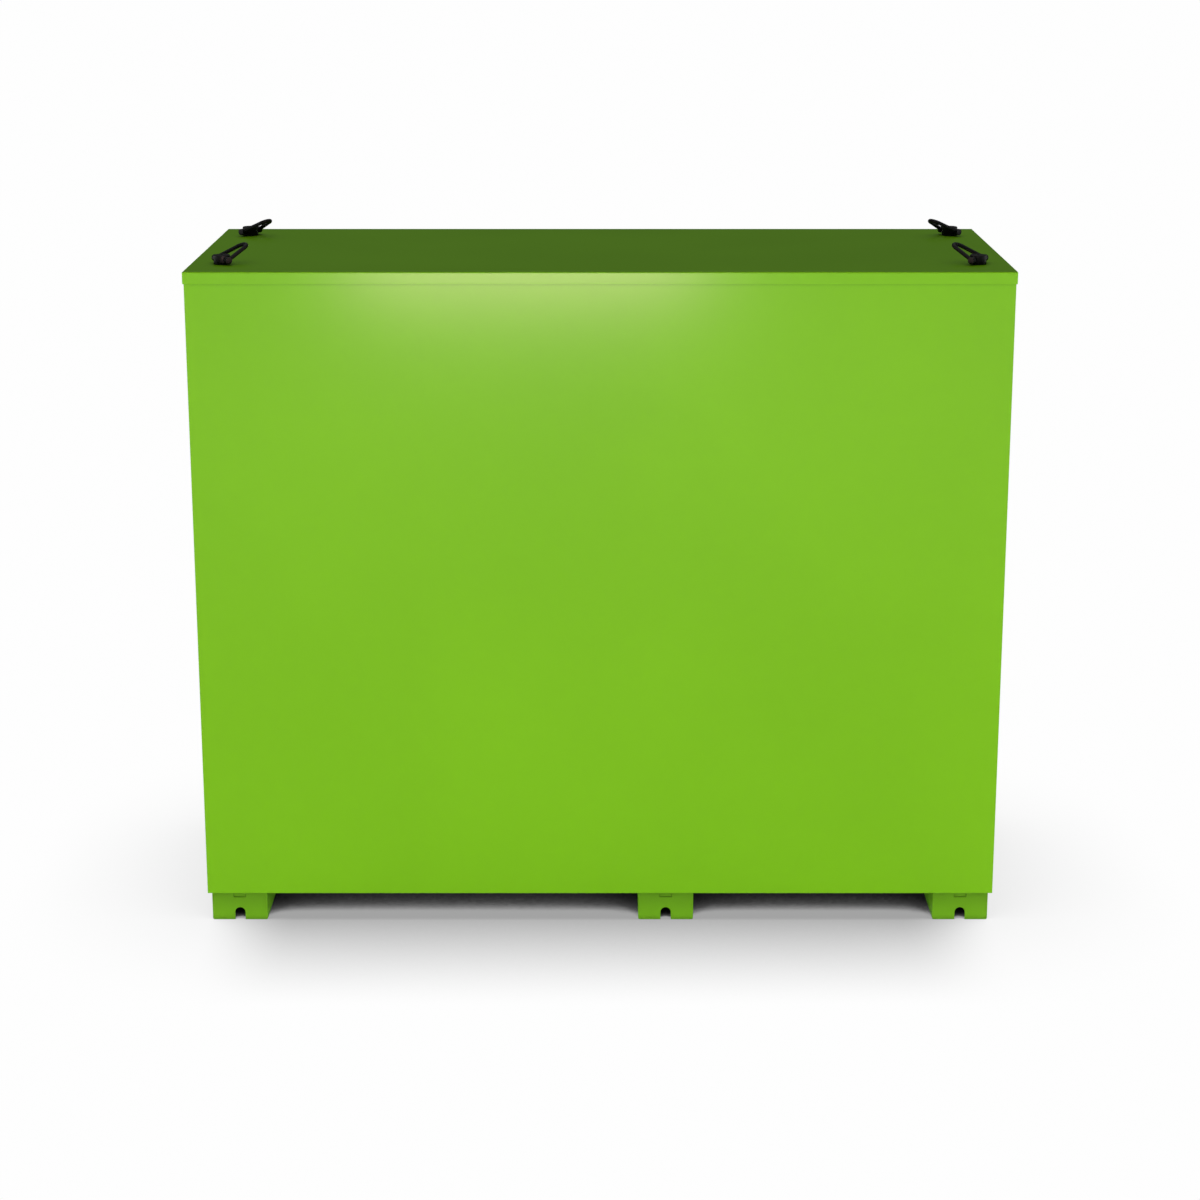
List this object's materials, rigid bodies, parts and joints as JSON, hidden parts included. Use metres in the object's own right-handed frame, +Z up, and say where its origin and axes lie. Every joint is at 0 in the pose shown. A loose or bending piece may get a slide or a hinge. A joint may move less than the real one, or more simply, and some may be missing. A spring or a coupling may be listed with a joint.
{
  "type": "jobsite storage cabinet",
  "caption": "Steel storage cabinet on fork-lift skids with unequal locking doors, shelved bays and swivel lifting rings on the roof.",
  "frame": {"origin": "on the floor under the middle of the roof's outline, the bottom centre of the bounding box", "axes": "+Z up, +X across the width to the right as seen facing the doors, +Y from the doors to the plain back"},
  "size_m": [1.829, 0.762, 1.5588],
  "materials": {
    "green_powder_coat": "satin powder coat",
    "black_forged_steel": "satin black",
    "black_powder_coat": "textured powder coat",
    "galvanised_steel": "galvanised",
    "bright_steel": "zinc plated",
    "seal_rubber": "matte"
  },
  "bodies": {
    "root": {"roof": "green_powder_coat", "back_panel": "green_powder_coat", "left_side_panel": "green_powder_coat", "right_side_panel": "green_powder_coat", "floor_panel": "green_powder_coat", "left_post": "green_powder_coat", "right_post": "green_powder_coat", "header": "green_powder_coat", "sill": "green_powder_coat", "mullion": "green_powder_coat", "divider": "green_powder_coat", "left_roof_rail": "green_powder_coat", "right_roof_rail": "green_powder_coat", "left_skid": "green_powder_coat", "middle_skid": "green_powder_coat", "right_skid": "green_powder_coat", "skid_end_plates": "green_powder_coat", "door_stops": "green_powder_coat", "left_door_seal": "seal_rubber", "right_door_seal": "seal_rubber", "fixed_hinges": "green_powder_coat", "rod_keepers": "galvanised_steel", "shelf_uprights": "galvanised_steel", "shelf_clips": "galvanised_steel", "left_lower_shelf": "galvanised_steel", "left_upper_shelf": "galvanised_steel", "right_lower_shelf": "galvanised_steel", "right_upper_shelf": "galvanised_steel", "eye_bolts": "black_forged_steel", "eye_nuts": "galvanised_steel", "eye_backing_plates": "galvanised_steel"},
    "left_door": {"left_door": "green_powder_coat", "left_door_hinges": "green_powder_coat", "left_stiffeners": "green_powder_coat", "left_dish": "black_powder_coat", "left_lock_case": "galvanised_steel", "left_rod_guides": "galvanised_steel"},
    "left_handle": {"left_handle": "bright_steel", "left_pinion": "bright_steel"},
    "left_upper_rod": {"left_upper_rod": "bright_steel"},
    "left_lower_rod": {"left_lower_rod": "bright_steel"},
    "right_door": {"right_door": "green_powder_coat", "right_door_hinges": "green_powder_coat", "right_stiffeners": "green_powder_coat", "right_dish": "black_powder_coat", "right_lock_case": "galvanised_steel", "right_rod_guides": "galvanised_steel"},
    "right_handle": {"right_handle": "bright_steel", "right_pinion": "bright_steel"},
    "right_upper_rod": {"right_upper_rod": "bright_steel"},
    "right_lower_rod": {"right_lower_rod": "bright_steel"},
    "front_left_swivel": {"front_left_swivel": "black_forged_steel"},
    "front_left_ring": {"front_left_ring": "black_forged_steel"},
    "front_right_swivel": {"front_right_swivel": "black_forged_steel"},
    "front_right_ring": {"front_right_ring": "black_forged_steel"},
    "rear_left_swivel": {"rear_left_swivel": "black_forged_steel"},
    "rear_left_ring": {"rear_left_ring": "black_forged_steel"},
    "rear_right_swivel": {"rear_right_swivel": "black_forged_steel"},
    "rear_right_ring": {"rear_right_ring": "black_forged_steel"}
  },
  "joints": [
    {"name": "left_door_hinge", "type": "hinge", "parent": "root", "child": "left_door", "pos_m": [-0.8675, -0.368, 0.786], "axis": [0, 0, -1], "range_deg": [0, 180]},
    {"name": "left_handle_turn", "type": "hinge", "parent": "left_door", "child": "left_handle", "pos_m": [-0.292, -0.359, 0.88], "axis": [0, -1, 0], "range_deg": [0, 90]},
    {"name": "left_upper_rod_slide", "type": "slide", "parent": "left_door", "child": "left_upper_rod", "axis": [0, 0, 1], "range_m": [0, 0.0283]},
    {"name": "left_lower_rod_slide", "type": "slide", "parent": "left_door", "child": "left_lower_rod", "axis": [0, 0, -1], "range_m": [0, 0.0283]},
    {"name": "right_door_hinge", "type": "hinge", "parent": "root", "child": "right_door", "pos_m": [0.8675, -0.368, 0.786], "axis": [0, 0, 1], "range_deg": [0, 180]},
    {"name": "right_handle_turn", "type": "hinge", "parent": "right_door", "child": "right_handle", "pos_m": [-0.014, -0.359, 0.88], "axis": [0, 1, 0], "range_deg": [0, 90]},
    {"name": "right_upper_rod_slide", "type": "slide", "parent": "right_door", "child": "right_upper_rod", "axis": [0, 0, 1], "range_m": [0, 0.0283]},
    {"name": "right_lower_rod_slide", "type": "slide", "parent": "right_door", "child": "right_lower_rod", "axis": [0, 0, -1], "range_m": [0, 0.0283]},
    {"name": "front_left_swivel_turn", "type": "hinge", "parent": "root", "child": "front_left_swivel", "pos_m": [-0.843, -0.254, 1.515], "axis": [0, 0, 1], "continuous": true},
    {"name": "front_left_ring_tilt", "type": "hinge", "parent": "front_left_swivel", "child": "front_left_ring", "pos_m": [-0.843, -0.254, 1.526], "axis": [0.6018, -0.7986, 0], "range_deg": [-28, 158]},
    {"name": "front_right_swivel_turn", "type": "hinge", "parent": "root", "child": "front_right_swivel", "pos_m": [0.843, -0.254, 1.515], "axis": [0, 0, 1], "continuous": true},
    {"name": "front_right_ring_tilt", "type": "hinge", "parent": "front_right_swivel", "child": "front_right_ring", "pos_m": [0.843, -0.254, 1.526], "axis": [0.6018, 0.7986, 0], "range_deg": [-28, 158]},
    {"name": "rear_left_swivel_turn", "type": "hinge", "parent": "root", "child": "rear_left_swivel", "pos_m": [-0.843, 0.254, 1.515], "axis": [0, 0, 1], "continuous": true},
    {"name": "rear_left_ring_tilt", "type": "hinge", "parent": "rear_left_swivel", "child": "rear_left_ring", "pos_m": [-0.843, 0.254, 1.526], "axis": [-0.6018, -0.7986, 0], "range_deg": [-28, 158]},
    {"name": "rear_right_swivel_turn", "type": "hinge", "parent": "root", "child": "rear_right_swivel", "pos_m": [0.843, 0.254, 1.515], "axis": [0, 0, 1], "continuous": true},
    {"name": "rear_right_ring_tilt", "type": "hinge", "parent": "rear_right_swivel", "child": "rear_right_ring", "pos_m": [0.843, 0.254, 1.526], "axis": [-0.6018, 0.7986, 0], "range_deg": [-28, 158]}
  ],
  "couplings": [
    {"joint": "left_upper_rod_slide", "follows": "left_handle_turn", "m_per_rad": 0.018},
    {"joint": "left_lower_rod_slide", "follows": "left_handle_turn", "m_per_rad": 0.018},
    {"joint": "right_upper_rod_slide", "follows": "right_handle_turn", "m_per_rad": 0.018},
    {"joint": "right_lower_rod_slide", "follows": "right_handle_turn", "m_per_rad": 0.018}
  ]
}
